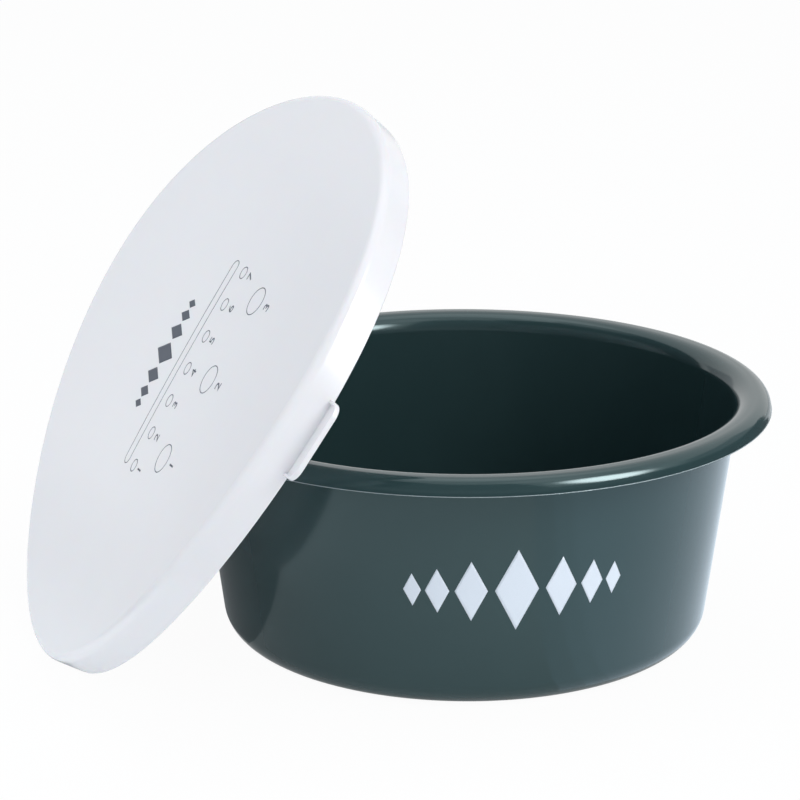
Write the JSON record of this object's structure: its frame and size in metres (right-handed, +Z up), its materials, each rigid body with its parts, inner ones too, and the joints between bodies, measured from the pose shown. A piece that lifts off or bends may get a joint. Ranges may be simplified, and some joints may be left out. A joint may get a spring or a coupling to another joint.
{
  "type": "feed bowl with lid",
  "caption": "Round plastic feed bowl with a rolled rim, and its press-fit lid with a pull tab, which is off, leans on the rim and lifts away.",
  "frame": {"origin": "centre of the bowl's flat base, on the table", "axes": "+Z up along the bowl's axis; the lid leans on the rim from the -X side, and its tab and the front of the bowl face -Y"},
  "size_m": [0.3954, 0.3446, 0.2817],
  "materials": {
    "bowl_plastic": "dark green moulded polypropylene with a soft gloss",
    "lid_plastic": "pale cool grey flexible moulded plastic with a soft gloss",
    "lid_print": "thin dark grey-blue screen print",
    "bowl_print": "thin pale blue-white screen print"
  },
  "bodies": {
    "bowl": {"bowl": "bowl_plastic"},
    "lid": {"lid": "lid_plastic"}
  },
  "joints": [
    {"name": "lid_lift", "type": "slide", "parent": "bowl", "child": "lid", "axis": [0, 0, 1], "range_m": [0, 0.15]}
  ]
}
